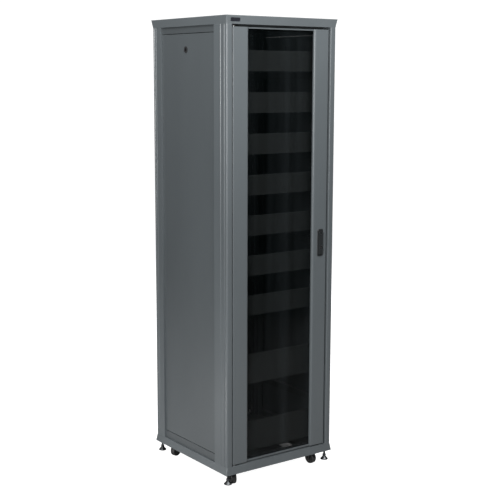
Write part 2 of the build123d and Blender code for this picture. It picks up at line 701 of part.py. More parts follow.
with BuildPart() as handle_lever:
    with BuildSketch(Plane.YZ.offset(HANDLE_X - LEVER_W / 2)):
        with Locations((PIVOT_Y, (LEVER_Z0 + ROTOR_Z) / 2)):
            Rectangle(LEVER_T, ROTOR_Z - LEVER_Z0)
        with Locations((PIVOT_Y, ROTOR_Z)):
            Circle(LEVER_T / 2)
    extrude(amount=LEVER_W)
    lower = handle_lever.edges().filter_by(Axis.Y).group_by(Axis.Z)[0]
    fillet(lower, 4)
    with Locations((HANDLE_X, PIVOT_Y, ROTOR_Z)):
        Box(LUG_W + 2 * ROTOR_RISE, 2 * LEVER_T, LUG_W + 4, mode=Mode.SUBTRACT)
        Cylinder(PIVOT_R, LEVER_W, rotation=(0, 90, 0), mode=Mode.SUBTRACT)
    with Locations((HANDLE_X, PIVOT_Y, LOCK_Z)):
        Cylinder(PLUG_R + RUN, 2 * LEVER_T, rotation=(90, 0, 0), mode=Mode.SUBTRACT)

with BuildPart() as lever_pin:
    with Locations((HANDLE_X, PIVOT_Y, ROTOR_Z)):
        Cylinder(PIVOT_R, LEVER_W, rotation=(0, 90, 0))

with BuildPart() as lock_plug:
    with Locations((HANDLE_X, PIVOT_Y, LOCK_Z)):
        Cylinder(PLUG_R, LEVER_T - 0.2, rotation=(90, 0, 0))
    with Locations((HANDLE_X, PIVOT_Y - LEVER_T / 2, LOCK_Z)):
        Box(KEY_W, 3, KEY_L, mode=Mode.SUBTRACT)

# Key locks on the rear door and the side panels: a barrel, and a plug that carries the cam.
barrels = {}
plugs = {}
for lock_name, spot, outward, cam_len in (
    ("rear", (-HANDLE_X, DOOR_FACE, ROTOR_Z), (0, 1, 0), CAM_LEN),
    ("side_left", (-SIDE_FACE_X, SIDE_LOCK_Y, SIDE_LOCK_Z), (-1, 0, 0), SIDE_CAM_LEN),
    ("side_right", (SIDE_FACE_X, SIDE_LOCK_Y, SIDE_LOCK_Z), (1, 0, 0), SIDE_CAM_LEN),
):
    place = Plane(origin=spot, z_dir=outward)
    with BuildPart() as barrel:
        with BuildSketch(place):
            Circle(BARREL_R)
        extrude(amount=BARREL_LIP)
        with BuildSketch(place):
            Circle(BARREL_BODY_R)
        extrude(amount=-BARREL_LEN)
        with BuildSketch(place):
            Circle(SIDE_PLUG_R + RUN)
        extrude(amount=BARREL_LEN, both=True, mode=Mode.SUBTRACT)
    barrels[lock_name] = barrel.part
    with BuildPart() as plug:
        with BuildSketch(place.offset(-BARREL_LEN - 0.5)):
            Circle(SIDE_PLUG_R)
        extrude(amount=BARREL_LEN + 0.5 + BARREL_LIP - 0.2)
        with BuildSketch(place.offset(BARREL_LIP)):
            Rectangle(KEY_W, KEY_L)
        extrude(amount=-2, mode=Mode.SUBTRACT)
        with BuildSketch(place.offset(-BARREL_LEN - 0.5)):
            Circle(SIDE_PLUG_R + 1)
            with Locations((cam_len / 2, 0)):
                Rectangle(cam_len, CAM_W)
        extrude(amount=-CAM_T)
    plugs[lock_name] = plug.part

# Side panels: sheet pans that lie in the recess between the strips.
side_panels = {}
PANEL_Z0 = STRIP_LOW + STRIP_GAP
PANEL_Z1 = STRIP_HIGH - STRIP_GAP
for panel_name, side in (("side_panel_left", -1), ("side_panel_right", 1)):
    with BuildPart() as pan:
        with Locations((side * (SIDE_FACE_X - PANEL_DEEP / 2), LIP_Y, (PANEL_Z0 + PANEL_Z1) / 2)):
            Box(PANEL_DEEP, LIP_REAR - LIP_FRONT - 2 * PANEL_EDGE, PANEL_Z1 - PANEL_Z0)
        inner = pan.faces().sort_by(Axis.X)[-1 if side < 0 else 0]
        offset(amount=-PANEL_SHEET, openings=inner)
        with Locations((side * SIDE_FACE_X, SIDE_LOCK_Y, SIDE_LOCK_Z)):
            Cylinder(BARREL_BODY_R + HOLE_GAP, 4, rotation=(0, 90, 0), mode=Mode.SUBTRACT)
    side_panels[panel_name] = pan.part

# Badge: a plain plate on the cap, lying along its slope.
BADGE_W = 48.0
BADGE_H = 15.5
BADGE_T = 1.0
BADGE_RISE = 18.0
BADGE_X = -WIDTH / 2 + 47
BADGE_Z = POST_Z1 + BADGE_RISE
BADGE_LIFT = 0.02
slope = Plane(
    origin=(BADGE_X, -HALF_D - FLARE * BADGE_RISE / (ROOF_Z - POST_Z1) - BADGE_LIFT, BADGE_Z),
    x_dir=(1, 0, 0),
    z_dir=(0, -(ROOF_Z - POST_Z1), -FLARE),
)
with BuildPart() as badge_plate:
    with BuildSketch(slope):
        RectangleRounded(BADGE_W, BADGE_H, 4)
    extrude(amount=BADGE_T)

KING_HEAD_T = 3.0
FORK_LIFT = 0.3
AXLE_END = 0.5

# Casters: plate and king pin on the frame, fork with its axle, wheel.
with BuildPart() as caster_plates:
    with Locations((0, 0, FRAME_BOTTOM_Z)):
        with GridLocations(2 * CASTER_X, 2 * CASTER_Y, 2, 2):
            Box(PLATE, PLATE, PLATE_T, align=DOWN)
            Cylinder(KING_R, FRAME_BOTTOM_Z - FORK_TOP_Z + FORK_TOP_T + 2, align=DOWN)
    with Locations((0, 0, FORK_TOP_Z - FORK_TOP_T - FORK_LIFT)):
        with GridLocations(2 * CASTER_X, 2 * CASTER_Y, 2, 2):
            Cylinder(KING_HEAD_R, KING_HEAD_T, align=DOWN)

forks = {}
wheels = {}
FORK_X = WHEEL_W / 2 + FORK_GAP
TREAD_T = 6.0
DISH = 2.0
for sx, sy, swivel in CASTER_ANGLES:
    corner_name = f"{'front' if sy < 0 else 'rear'}_{'left' if sx < 0 else 'right'}"
    turned = Location((sx * CASTER_X, sy * CASTER_Y, 0), (0, 0, swivel))
    with BuildPart() as fork:
        with Locations((0, 0, FORK_TOP_Z)):
            Cylinder(FORK_TOP_R, FORK_TOP_T, align=DOWN)
        for side in (-1, 1):
            with BuildSketch(Plane.YZ.offset(side * FORK_X)):
                with BuildLine():
                    Polyline(
                        (-10, FORK_TOP_Z - FORK_TOP_T),
                        (-6, 44),
                        (TRAIL - 8, WHEEL_R - 3),
                        (TRAIL - 4, WHEEL_R - 8),
                        (TRAIL + 4, WHEEL_R - 8),
                        (TRAIL + 8, WHEEL_R - 3),
                        (TRAIL + 6, 46),
                        (12, FORK_TOP_Z - FORK_TOP_T),
                        close=True,
                    )
                make_face()
            extrude(amount=side * FORK_T)
        with Locations((0, 0, FORK_TOP_Z)):
            Cylinder(KING_R + RUN, 2 * FORK_TOP_T, mode=Mode.SUBTRACT)
        with Locations((0, TRAIL, WHEEL_R)):
            Cylinder(AXLE_R, 2 * WHEEL_W, rotation=(0, 90, 0), mode=Mode.SUBTRACT)
    with BuildPart() as axle:
        with Locations((0, TRAIL, WHEEL_R)):
            Cylinder(AXLE_R, 2 * (FORK_X + FORK_T + AXLE_END), rotation=(0, 90, 0))
    pair = [fork.part.solid().moved(turned), axle.part.solid().moved(turned)]
    forks[f"caster_fork_{corner_name}"] = Compound(children=pair)
    with BuildPart() as wheel:
        with Locations((0, TRAIL, WHEEL_R)):
            Cylinder(WHEEL_R, WHEEL_W, rotation=(0, 90, 0))
            Cylinder(AXLE_R + RUN, WHEEL_W, rotation=(0, 90, 0), mode=Mode.SUBTRACT)
        for side in (-1, 1):
            with BuildSketch(Plane.YZ.offset(side * WHEEL_W / 2)):
                with Locations((TRAIL, WHEEL_R)):
                    Circle(WHEEL_R - TREAD_T)
                    Circle(2 * AXLE_R, mode=Mode.SUBTRACT)
            extrude(amount=-side * DISH, mode=Mode.SUBTRACT)
    wheels[f"caster_wheel_{corner_name}"] = wheel.part.solid().moved(turned)

# Levelling feet: threaded corner blocks on the frame, stems with conical pads.
BLOCK_Z = FRAME_BOTTOM_Z + 8
BLOCK_T = 14.0
BLOCK_X = 18.0
BLOCK_Y = 22.0
STEM_TOP = POST_Z0 + 5
PAD_T = 4.0
CONE_H = 13.0
HEX_RISE = 19.0
HEX_H = 6.0
HEX_R = 9.0
with BuildPart() as leveller_blocks:
    with Locations((0, 0, BLOCK_Z)):
        with GridLocations(2 * FRAME_X + BLOCK_X, 2 * FOOT_Y - 2, 2, 2):
            Box(BLOCK_X, BLOCK_Y, BLOCK_T, align=UP)
    with Locations((0, 0, BLOCK_Z)):
        with GridLocations(2 * FOOT_X, 2 * FOOT_Y, 2, 2):
            Cylinder(STEM_R + RUN, BLOCK_T, align=UP, mode=Mode.SUBTRACT)

levellers = {}
for sx, sy in ((-1, -1), (1, -1), (-1, 1), (1, 1)):
    corner_name = f"{'front' if sy < 0 else 'rear'}_{'left' if sx < 0 else 'right'}"
    with BuildPart() as leveller:
        with Locations((sx * FOOT_X, sy * FOOT_Y, FOOT_Z)):
            Cylinder(FOOT_R, PAD_T, align=UP)
            Cylinder(STEM_R, STEM_TOP - FOOT_Z, align=UP)
        with Locations((sx * FOOT_X, sy * FOOT_Y, FOOT_Z + PAD_T)):
            Cone(FOOT_R, STEM_R + 2, CONE_H, align=UP)
        with BuildSketch(Plane.XY.offset(FOOT_Z + HEX_RISE)):
            with Locations((sx * FOOT_X, sy * FOOT_Y)):
                RegularPolygon(HEX_R, 6)
        extrude(amount=HEX_H)
    levellers[f"leveller_{corner_name}"] = leveller.part

# Roof fans: housing, guard and impeller.
GUARD_RINGS = (54.0, 42.0, 30.0)
GUARD_GAP = 8.0
GUARD_HUB = 18.0
SPOKE_W = 4.0
STRUT_T = 3.0
FAN_LIFT = 0.5
BLADE_W = 20.0
BLADE_T = 2.0
BLADE_TILT = 38.0
CORNER_R = 5.0
with BuildPart() as fan_guards:
    with BuildSketch(Plane.XY.offset(FAN_TOP)):
        with Locations(*FAN_SPOTS):
            RectangleRounded(FAN_SIZE, FAN_SIZE, CORNER_R)
            for ring in GUARD_RINGS:
                Circle(ring, mode=Mode.SUBTRACT)
                Circle(ring - GUARD_GAP)
            Circle(GUARD_HUB, mode=Mode.SUBTRACT)
            Circle(GUARD_HUB - GUARD_GAP + 2)
            with PolarLocations(GUARD_RINGS[0] / 2, 4):
                Rectangle(GUARD_RINGS[0], SPOKE_W)
    extrude(amount=GUARD_T)

FAN_LOW = FAN_TOP - FAN_H
with BuildPart() as fan_housings:
    with BuildSketch(Plane.XY.offset(FAN_LOW)):
        with Locations(*FAN_SPOTS):
            RectangleRounded(FAN_SIZE, FAN_SIZE, CORNER_R)
            Circle(FAN_BORE, mode=Mode.SUBTRACT)
    extrude(amount=FAN_H)
    with BuildSketch(Plane.XY.offset(FAN_LOW)):
        with Locations(*FAN_SPOTS):
            Circle(HUB_R)
            with PolarLocations((HUB_R + FAN_BORE) / 2, 4, start_angle=45):
                Rectangle(FAN_BORE - HUB_R + 4, CORNER_R)
    extrude(amount=STRUT_T)
    with BuildSketch(Plane.XY.offset(FAN_LOW + STRUT_T)):
        with Locations(*FAN_SPOTS):
            Circle(SPINDLE_R)
    extrude(amount=HUB_H / 2)

impellers = {}
for fan_name, (fan_x, fan_y) in zip(("fan_impeller_left", "fan_impeller_right"), FAN_SPOTS):
    with BuildPart() as impeller:
        with Locations((fan_x, fan_y, FAN_LOW + STRUT_T + FAN_LIFT)):
            Cylinder(HUB_R, HUB_H, align=UP)
        for blade in range(BLADES):
            around = 360 / BLADES * blade
            span = FAN_BORE - TIP_GAP - HUB_R + 2
            radius = HUB_R - 2 + span / 2
            blade_x = fan_x + radius * cos(radians(around))
            blade_y = fan_y + radius * sin(radians(around))
            with Locations(Location((blade_x, blade_y, FAN_TOP - FAN_H / 2 + 1), (0, 0, around))):
                Box(span, BLADE_W, BLADE_T, rotation=(BLADE_TILT, 0, 0))
        with Locations((fan_x, fan_y, FAN_TOP - FAN_H / 2)):
            Cylinder(FAN_BORE - TIP_GAP, FAN_H, mode=Mode.INTERSECT)
        with Locations((fan_x, fan_y, FAN_LOW + STRUT_T + FAN_LIFT)):
            Cylinder(SPINDLE_R + RUN, HUB_H / 2, align=UP, mode=Mode.SUBTRACT)
    impellers[fan_name] = impeller.part

nodes = {
    "posts_front": Compound(children=[posts["post_front_left"], posts["post_front_right"]]),
    "posts_rear": Compound(children=[posts["post_rear_left"], posts["post_rear_right"]]),
    **frames,
    **skirts,
    "roof_panel": roof_panel.part,
    "cable_brush": cable_brush.part,
    "floor_panel": floor_panel.part,
    "floor_cable_cover": floor_cable_cover.part,
    "cover_guides": cover_guides.part,
    "side_strips": side_strips.part,
    "rack_rails_front": Compound(
        children=[rails["rack_rail_front_left"], rails["rack_rail_front_right"]]
    ),
    "rack_rails_rear": Compound(
        children=[rails["rack_rail_rear_left"], rails["rack_rail_rear_right"]]
    ),
    "rail_braces": rail_braces.part,
    **blanks,
    "panel_screws": panel_screws.part,
    "cage_nuts": cage_nuts.part,
    **stiles,
    "door_rails": door_rails.part,
    "door_glass": door_glass.part,
    "door_seals": door_seals.part,
    "door_bushes": door_bushes.part,
    "hinge_lugs": Compound(children=[*lug_sets["hinge_lugs"], *lug_sets["rear_hinge_lugs"]]),
    "rear_door": rear_door.part,
    "rear_bushes": rear_bushes.part,
    "handle_base": Compound(children=[handle_escutcheon.part.solid(), lock_housing.part.solid()]),
    "handle_rotor": handle_rotor.part,
    "latch_cam": latch_cam.part,
    "handle_lever": Compound(children=[handle_lever.part.solid(), lever_pin.part.solid()]),
    "lock_plug": lock_plug.part,
    "rear_lock_barrel": barrels["rear"],
    "rear_lock_cam": plugs["rear"],
    "side_lock_barrel_left": barrels["side_left"],
    "side_lock_cam_left": plugs["side_left"],
    "side_lock_barrel_right": barrels["side_right"],
    "side_lock_cam_right": plugs["side_right"],
    **side_panels,
    "badge_plate": badge_plate.part,
    "caster_plates": caster_plates.part,
    **forks,
    **wheels,
    "leveller_blocks": leveller_blocks.part,
    **levellers,
    "fan_guards": fan_guards.part,
    "fan_housings": fan_housings.part,
    **impellers,
}
for node_name, shape in nodes.items():
    shape.label = node_name
    export_step(shape, f"parts/{node_name}.step")
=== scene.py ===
import bpy
import json
from math import cos, pi, radians, sin
from mathutils import Matrix, Vector


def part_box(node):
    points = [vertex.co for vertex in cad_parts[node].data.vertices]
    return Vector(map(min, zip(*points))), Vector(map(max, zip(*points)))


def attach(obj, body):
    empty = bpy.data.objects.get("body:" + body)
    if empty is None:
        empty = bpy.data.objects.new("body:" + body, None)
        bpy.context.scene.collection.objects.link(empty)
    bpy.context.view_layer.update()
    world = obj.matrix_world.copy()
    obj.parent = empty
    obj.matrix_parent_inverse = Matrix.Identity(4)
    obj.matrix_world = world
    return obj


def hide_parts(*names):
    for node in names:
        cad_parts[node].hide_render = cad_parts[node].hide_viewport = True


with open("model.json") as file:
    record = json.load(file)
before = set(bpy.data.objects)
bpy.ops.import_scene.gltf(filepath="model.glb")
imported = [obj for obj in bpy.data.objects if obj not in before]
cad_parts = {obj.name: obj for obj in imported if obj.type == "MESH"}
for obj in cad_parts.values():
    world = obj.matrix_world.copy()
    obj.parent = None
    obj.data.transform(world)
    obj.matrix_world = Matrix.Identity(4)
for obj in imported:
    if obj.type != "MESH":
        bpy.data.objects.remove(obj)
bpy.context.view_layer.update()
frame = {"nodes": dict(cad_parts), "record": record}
nodes = frame["nodes"]
joints = {joint["name"]: joint for joint in frame["record"]["behaviour"]["joints"]}

# ---------------------------------------------------------------- node helpers


class Material:
    """A node material with a Principled surface and short calls for procedural detail."""

    def __init__(self, name, roughness=0.45, metallic=0.0, specular=0.5):
        self.mat = bpy.data.materials.new(name)
        self.mat.use_nodes = True
        self.tree = self.mat.node_tree
        self.shader = next(n for n in self.tree.nodes if n.type == "BSDF_PRINCIPLED")
        self.shader.inputs["Roughness"].default_value = roughness
        self.shader.inputs["Metallic"].default_value = metallic
        self.shader.inputs["Specular IOR Level"].default_value = specular
        self.coord = self.add("ShaderNodeTexCoord").outputs["Object"]

    def add(self, kind, **values):
        node = self.tree.nodes.new(kind)
        for key, value in values.items():
            setattr(node, key, value)
        return node

    def link(self, a, b):
        self.tree.links.new(a, b)

    def scaled(self, scale):
        mapping = self.add("ShaderNodeMapping")
        mapping.inputs["Scale"].default_value = scale
        self.link(self.coord, mapping.inputs["Vector"])
        return mapping.outputs["Vector"]

    def noise(self, scale, detail=3.0, stretch=(1, 1, 1), roughness=0.5):
        node = self.add("ShaderNodeTexNoise")
        node.inputs["Scale"].default_value = scale
        node.inputs["Detail"].default_value = detail
        node.inputs["Roughness"].default_value = roughness
        self.link(self.scaled(stretch), node.inputs["Vector"])
        return node.outputs["Fac"]

    def ramp(self, value, *stops):
        node = self.add("ShaderNodeValToRGB")
        ramp = node.color_ramp
        while len(ramp.elements) < len(stops):
            ramp.elements.new(0.5)
        for element, (place, colour) in zip(ramp.elements, stops):
            element.position = place
            element.color = (*colour, 1.0)
        self.link(value, node.inputs["Fac"])
        return node.outputs["Color"]

    def spread(self, value, low, high):
        node = self.add("ShaderNodeMapRange")
        node.inputs["To Min"].default_value = low
        node.inputs["To Max"].default_value = high
        self.link(value, node.inputs["Value"])
        return node.outputs["Result"]

    def edges(self, radius):
        """1 on convex edges, 0 on flats, from how far a rounded normal leaves the true one."""
        bevel = self.add("ShaderNodeBevel", samples=4)
        bevel.inputs["Radius"].default_value = radius
        true = self.add("ShaderNodeNewGeometry").outputs["Normal"]
        dot = self.add("ShaderNodeVectorMath", operation="DOT_PRODUCT")
        self.link(bevel.outputs["Normal"], dot.inputs[0])
        self.link(true, dot.inputs[1])
        span = self.add("ShaderNodeMapRange")
        span.inputs["From Min"].default_value = 0.995
        span.inputs["From Max"].default_value = 0.8
        self.link(dot.outputs["Value"], span.inputs["Value"])
        return span.outputs["Result"]

    def blend(self, factor, a, b, kind="MIX"):
        node = self.add("ShaderNodeMix", data_type="RGBA", blend_type=kind)
        for value, socket in ((a, node.inputs["A"]), (b, node.inputs["B"])):
            if isinstance(value, tuple):
                socket.default_value = (*value, 1.0)
            else:
                self.link(value, socket)
        if isinstance(factor, float):
            node.inputs["Factor"].default_value = factor
        else:
            self.link(factor, node.inputs["Factor"])
        return node.outputs["Result"]

    def bump(self, height, distance, strength=0.4):
        node = self.add("ShaderNodeBump")
        node.inputs["Strength"].default_value = strength
        node.inputs["Distance"].default_value = distance
        self.link(height, node.inputs["Height"])
        self.link(node.outputs["Normal"], self.shader.inputs["Normal"])

    def set(self, **links):
        names = {"color": "Base Color", "rough": "Roughness", "alpha": "Alpha"}
        for key, value in links.items():
            self.link(value, self.shader.inputs[names[key]])
        return self.mat


def shade(colour, factor):
    return tuple(channel * factor for channel in colour)


def powder_coat(name, colour, roughness=0.36, grain=900.0, wear=0.35):
    """Fine textured powder coat: small colour drift, orange peel bump, lighter rubbed edges."""
    m = Material(name, roughness, specular=0.5)
    clouds = m.noise(3.2, 4.0, (1, 1, 0.35))
    drift = m.ramp(clouds, (0.3, shade(colour, 0.93)), (0.7, shade(colour, 1.06)))
    speck = m.ramp(m.noise(grain, 2.0), (0.35, (0.86, 0.86, 0.86)), (0.65, (1.0, 1.0, 1.0)))
    base = m.blend(0.5, drift, speck, "MULTIPLY")
    worn = m.blend(m.edges(0.0015), base, shade(colour, 1 + wear))
    rough = m.spread(m.noise(14.0, 5.0), roughness - 0.05, roughness + 0.07)
    m.bump(m.noise(grain, 3.0), 0.0002, 0.25)
    return m.set(color=worn, rough=rough)


def steel(name, colour, roughness=0.32, stretch=(1, 1, 30)):
    """Zinc plated or brushed steel: fine drawn lines, faint mottling, brighter edges."""
    m = Material(name, roughness, metallic=1.0)
    lines = m.noise(220.0, 4.0, stretch)
    tone = m.ramp(lines, (0.25, shade(colour, 0.82)), (0.75, shade(colour, 1.1)))
    mottle = m.ramp(m.noise(40.0, 5.0), (0.3, (0.9, 0.9, 0.92)), (0.7, (1.0, 1.0, 0.97)))
    base = m.blend(0.6, tone, mottle, "MULTIPLY")
    worn = m.blend(m.edges(0.0006), base, shade(colour, 1.25))
    m.bump(lines, 0.0001, 0.2)
    return m.set(color=worn, rough=m.spread(lines, roughness - 0.08, roughness + 0.12))


def plastic(name, colour, roughness=0.45, grain=700.0, wear=0.6):
    """Moulded plastic: spark-eroded grain, slight blotching, scuffed edges."""
    m = Material(name, roughness)
    tone = m.ramp(m.noise(18.0, 4.0), (0.3, shade(colour, 0.85)), (0.7, shade(colour, 1.15)))
    worn = m.blend(m.edges(0.0008), tone, shade(colour, 1 + wear))
    m.bump(m.noise(grain, 2.0), 0.00015, 0.3)
    return m.set(color=worn, rough=m.spread(m.noise(60.0, 4.0), roughness - 0.07, roughness + 0.1))


def rubber(name, colour):
    """Dull black rubber: blotched colour, uneven matt finish, fine surface grain."""
    m = Material(name, 0.75, specular=0.3)
    tone = m.ramp(m.noise(60.0, 5.0), (0.3, shade(colour, 0.8)), (0.75, shade(colour, 1.4)))
    m.bump(m.noise(500.0, 3.0), 0.0002, 0.3)
    return m.set(color=tone, rough=m.spread(m.noise(90.0, 4.0), 0.68, 0.85))


def smoked_glass(name):
    """Dark tinted safety glass; faint upright lighter streaks in its colour are painted reflections, and
    the same streaks vary its roughness.
    """
    m = Material(name, 0.06, specular=0.12)
    reflection_streaks_and_haze = m.noise(14.0, 3.0, (1, 1, 0.03))
    m.mat.surface_render_method = "BLENDED"
    m.shader.inputs["Alpha"].default_value = 0.46
    # painted reflection: upright lighter streaks in the glass colour stand in for reflected light
    tint_with_painted_reflections = m.ramp(reflection_streaks_and_haze, (0.4, (0.0005, 0.001, 0.001)), (0.75, (0.008, 0.010, 0.011)))
    return m.set(color=tint_with_painted_reflections, rough=m.spread(reflection_streaks_and_haze, 0.03, 0.09))


PAINT = (0.079, 0.090, 0.096)
looks = {
    "frame_paint": powder_coat("frame_paint", PAINT),
    "cap_paint": powder_coat("cap_paint", PAINT, 0.5),
    # strip paint: the frame paint at 0.7, a darker copy that paints the shade under the cap onto the
    # strips
    "strip_paint": powder_coat("strip_paint", shade(PAINT, 0.7)),
    "inner_paint": powder_coat("inner_paint", (0.05, 0.055, 0.058), 0.5),
    "rail_paint": powder_coat("rail_paint", (0.035, 0.037, 0.04), 0.5),
    "blank_paint": powder_coat("blank_paint", (0.07, 0.078, 0.078), 0.45),
    "door_paint": powder_coat("door_paint", PAINT),
    "rear_paint": powder_coat("rear_paint", PAINT),
    # side paint: the frame paint at 0.8, a darker copy that paints the shade on the side panels
    "side_paint": powder_coat("side_paint", shade(PAINT, 0.8)),
    "smoked_glass": smoked_glass("smoked_glass"),
    "seal_rubber": rubber("seal_rubber", (0.012, 0.012, 0.013)),
    "bush_plastic": plastic("bush_plastic", (0.55, 0.54, 0.5)),
    "screw_steel": steel("screw_steel", (0.55, 0.55, 0.56)),
    "lug_steel": steel("lug_steel", (0.5, 0.5, 0.51)),
    "handle_body": powder_coat("handle_body", (0.012, 0.013, 0.014), 0.35, 1200.0, 1.2),
    "lever_plastic": powder_coat("lever_plastic", (0.016, 0.018, 0.019), 0.3, 1200.0, 1.2),
    "lock_chrome": steel("lock_chrome", (0.75, 0.75, 0.76), 0.18, (1, 1, 1)),
    "cam_black": steel("cam_black", (0.05, 0.05, 0.052), 0.35, (1, 1, 1)),
    "barrel_black": plastic("barrel_black", (0.02, 0.02, 0.021), 0.35),
    "badge_plastic": plastic("badge_plastic", (0.015, 0.016, 0.02), 0.2),
    "brush_bristle": rubber("brush_bristle", (0.015, 0.015, 0.015)),
    "fork_steel": powder_coat("fork_steel", (0.02, 0.021, 0.022), 0.4),
    "wheel_tread": plastic("wheel_tread", (0.02, 0.02, 0.02), 0.5),
    "foot_metal": steel("foot_metal", (0.1, 0.105, 0.11), 0.35, (1, 1, 1)),
    "fan_plastic": plastic("fan_plastic", (0.015, 0.015, 0.015), 0.4),
    "guard_steel": steel("guard_steel", (0.4, 0.4, 0.41)),
}

slot_of = {entry["node"]: entry["material_slot"] for entry in frame["record"]["subparts"]}
for name, obj in nodes.items():
    obj.data.materials.clear()
    obj.data.materials.append(looks[slot_of[name]])

# ---------------------------------------------------------------- finer pieces


def mesh_piece(name, builder, body, slot, replaced, smooth=True):
    """A new mesh in the row frame that rides on a body and stands for one CAD node."""
    mesh = bpy.data.meshes.new(name)
    mesh.from_pydata(builder.verts, [], builder.faces)
    for polygon in mesh.polygons:
        polygon.use_smooth = smooth
    mesh.materials.append(looks[slot])
    obj = bpy.data.objects.new(name, mesh)
    bpy.context.scene.collection.objects.link(obj)
    if smooth:
        obj.data.set_sharp_from_angle(angle=radians(35))
    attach(obj, body)
    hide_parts(replaced)


class Builder:
    """Collects vertices and faces of several closed shapes in one mesh."""

    def __init__(self):
        self.verts = []
        self.faces = []

    def lathe(self, profile, place, segments):
        """Turns (radius, height) points about a local axis; place maps a local point to the row frame."""
        rings = []
        for radius, height in profile:
            if radius == 0:
                rings.append([len(self.verts)])
                self.verts.append(place(0.0, 0.0, height))
                continue
            ring = []
            for step in range(segments):
                around = 2 * pi * step / segments
                ring.append(len(self.verts))
                self.verts.append(place(radius * cos(around), radius * sin(around), height))
            rings.append(ring)
        for low, high in zip(rings, rings[1:]):
            for step in range(segments):
                after = (step + 1) % segments
                if len(low) == 1:
                    self.faces.append((low[0], high[after], high[step]))
                elif len(high) == 1:
                    self.faces.append((low[step], low[after], high[0]))
                else:
                    self.faces.append((low[step], low[after], high[after], high[step]))

    def prism(self, outline, low, high, place):
        """An upright prism on a convex outline of local (x, y) points."""
        start = len(self.verts)
        count = len(outline)
        for height in (low, high):
            for x, y in outline:
                self.verts.append(place(x, y, height))
        top = start + count
        self.faces.append(tuple(start + index for index in reversed(range(count))))
        self.faces.append(tuple(top + index for index in range(count)))
        for index in range(count):
            after = (index + 1) % count
            self.faces.append((start + index, start + after, top + after, top + index))

    def bristle(self, root, tip):
        """A tapered square hair between two (centre, half thickness) ends that lie along y."""
        start = len(self.verts)
        for (x, y, z), thick in (root, tip):
            for dx, dz in ((-1, -1), (1, -1), (1, 1), (-1, 1)):
                self.verts.append(mm(x + dx * thick, y, z + dz * thick))
        order = (0, 1, 2, 3) if root[0][1] > tip[0][1] else (3, 2, 1, 0)
        a, b, c, d = (start + k for k in order)
        self.faces += [(a, b, c, d), (d + 4, c + 4, b + 4, a + 4)]
        for p, q in ((a, b), (b, c), (c, d), (d, a)):
            self.faces.append((q, p, p + 4, q + 4))

    def shell(self, grid, spans, chords):
        """A closed plate between two grids of points, the upper face first."""
        start = len(self.verts)
        self.verts += grid
        row = chords + 1
        layer = (spans + 1) * row
        for i in range(spans):
            for j in range(chords):
                a = start + i * row + j
                self.faces.append((a, a + row, a + row + 1, a + 1))
                a += layer
                self.faces.append((a, a + 1, a + row + 1, a + row))
        for i in range(spans):
            for a, flip in ((start + i * row, False), (start + i * row + chords, True)):
                self.wall(a, a + row, layer, flip)
        for j in range(chords):
            for a, flip in ((start + j, True), (start + spans * row + j, False)):
                self.wall(a, a + 1, layer, flip)

    def wall(self, a, b, layer, flip):
        quad = (a, a + layer, b + layer, b)
        self.faces.append(tuple(reversed(quad)) if flip else quad)


def mm(x, y, z):
    return (x / 1000, y / 1000, z / 1000)


def cad_box_mm(name):
    """The lowest and highest corner of a CAD node, and its centre, in millimetres."""
    low, high = (corner * 1000 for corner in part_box(name))
    return low, high, (low + high) / 2


def joint_place(name):
    """A joint's position in millimetres and its axis."""
    joint = joints[name]
    return Vector(joint["pos_m"]) * 1000, Vector(joint["axis"])


# Levelling feet: pad with a rounded edge, cone, hexagon and a threaded stem, with heights from the pad's
# base.
PAD_R = 18.0
PAD_EDGE = ((16.6, 0), (17.6, 0.6), (PAD_R, 1.6), (PAD_R, 3.2), (17.2, 4.4))
CONE = ((12.5, 9), (9.2, 13), (7.4, 16.4), (6.6, 17), (5, 17.4))
HEX_R = 9.0
HEX_RISE = 19.0
HEX_T = 6.0
NECK_R = 5.0
NECK_TOP = 27.0
ROOT_R = 4.25
CREST_R = 4.98
STEM_END_R = 4.0
PITCH = 1.5
LEAD_IN = 0.4


def levelling_foot(name):
    low, high, middle = cad_box_mm(name)
    tall = high.z - low.z

    def at_foot(x, y, z):
        return mm(middle.x + x, middle.y + y, low.z + z)

    profile = [(0, 0), *PAD_EDGE, *CONE, (NECK_R, NECK_TOP)]
    for step in range(int((tall - LEAD_IN - NECK_TOP) / PITCH)):
        base = NECK_TOP + step * PITCH
        profile += [(ROOT_R, base + 0.55), (CREST_R, base + PITCH * 0.92)]
    profile += [(STEM_END_R, tall), (0, tall)]
    hexagon = [(HEX_R * cos(radians(60 * k)), HEX_R * sin(radians(60 * k))) for k in range(6)]
    foot = Builder()
    foot.lathe(profile, at_foot, 40)
    foot.prism(hexagon, HEX_RISE, HEX_RISE + HEX_T, at_foot)
    mesh_piece(f"{name}_turned", foot, name, "foot_metal", name)


# Caster wheels: crowned tread with rounded shoulders, dished web and raised hub, as (radius, half width).
WHEEL_BORE = 4.05
HUB = ((WHEEL_BORE, 12), (7.4, 12), (8, 11.4), (8, 10.2))
WEB = ((9.2, 9.8), (18.6, 9.8), (20, 10.4), (20.6, 11.7))
TREAD = ((21.4, 12), (24.6, 11.6), (26.2, 10.2), (26.8, 7.6), (27, 3.6))


def caster_wheel(corner):
    name = f"caster_wheel_{corner}"
    hub, axle = joint_place(f"caster_{corner}_roll")

    def at_wheel(x, y, z):
        return mm(hub.x + axle.x * z - axle.y * x, hub.y + axle.y * z + axle.x * x, hub.z + y)

    outline = (*HUB, *WEB, *TREAD)
    profile = [(r, -w) for r, w in outline] + [(r, w) for r, w in reversed(outline)]
    profile.append(profile[0])
    wheel = Builder()
    wheel.lathe(profile, at_wheel, 56)
    mesh_piece(f"{name}_turned", wheel, name, "wheel_tread", name)


CORNERS = ("front_left", "front_right", "rear_left", "rear_right")
for corner in CORNERS:
    levelling_foot(f"leveller_{corner}")
for corner in CORNERS:
    caster_wheel(corner)

# Cable brush: two carriers with rows of single bristles that lean a little to either side.
BRISTLES = 230
CARRIER_D = 12.0
BRISTLE_END = 8.0
BRISTLE_GAP = 2.6
ROOT_HALF = 0.5
TIP_HALF = 0.3


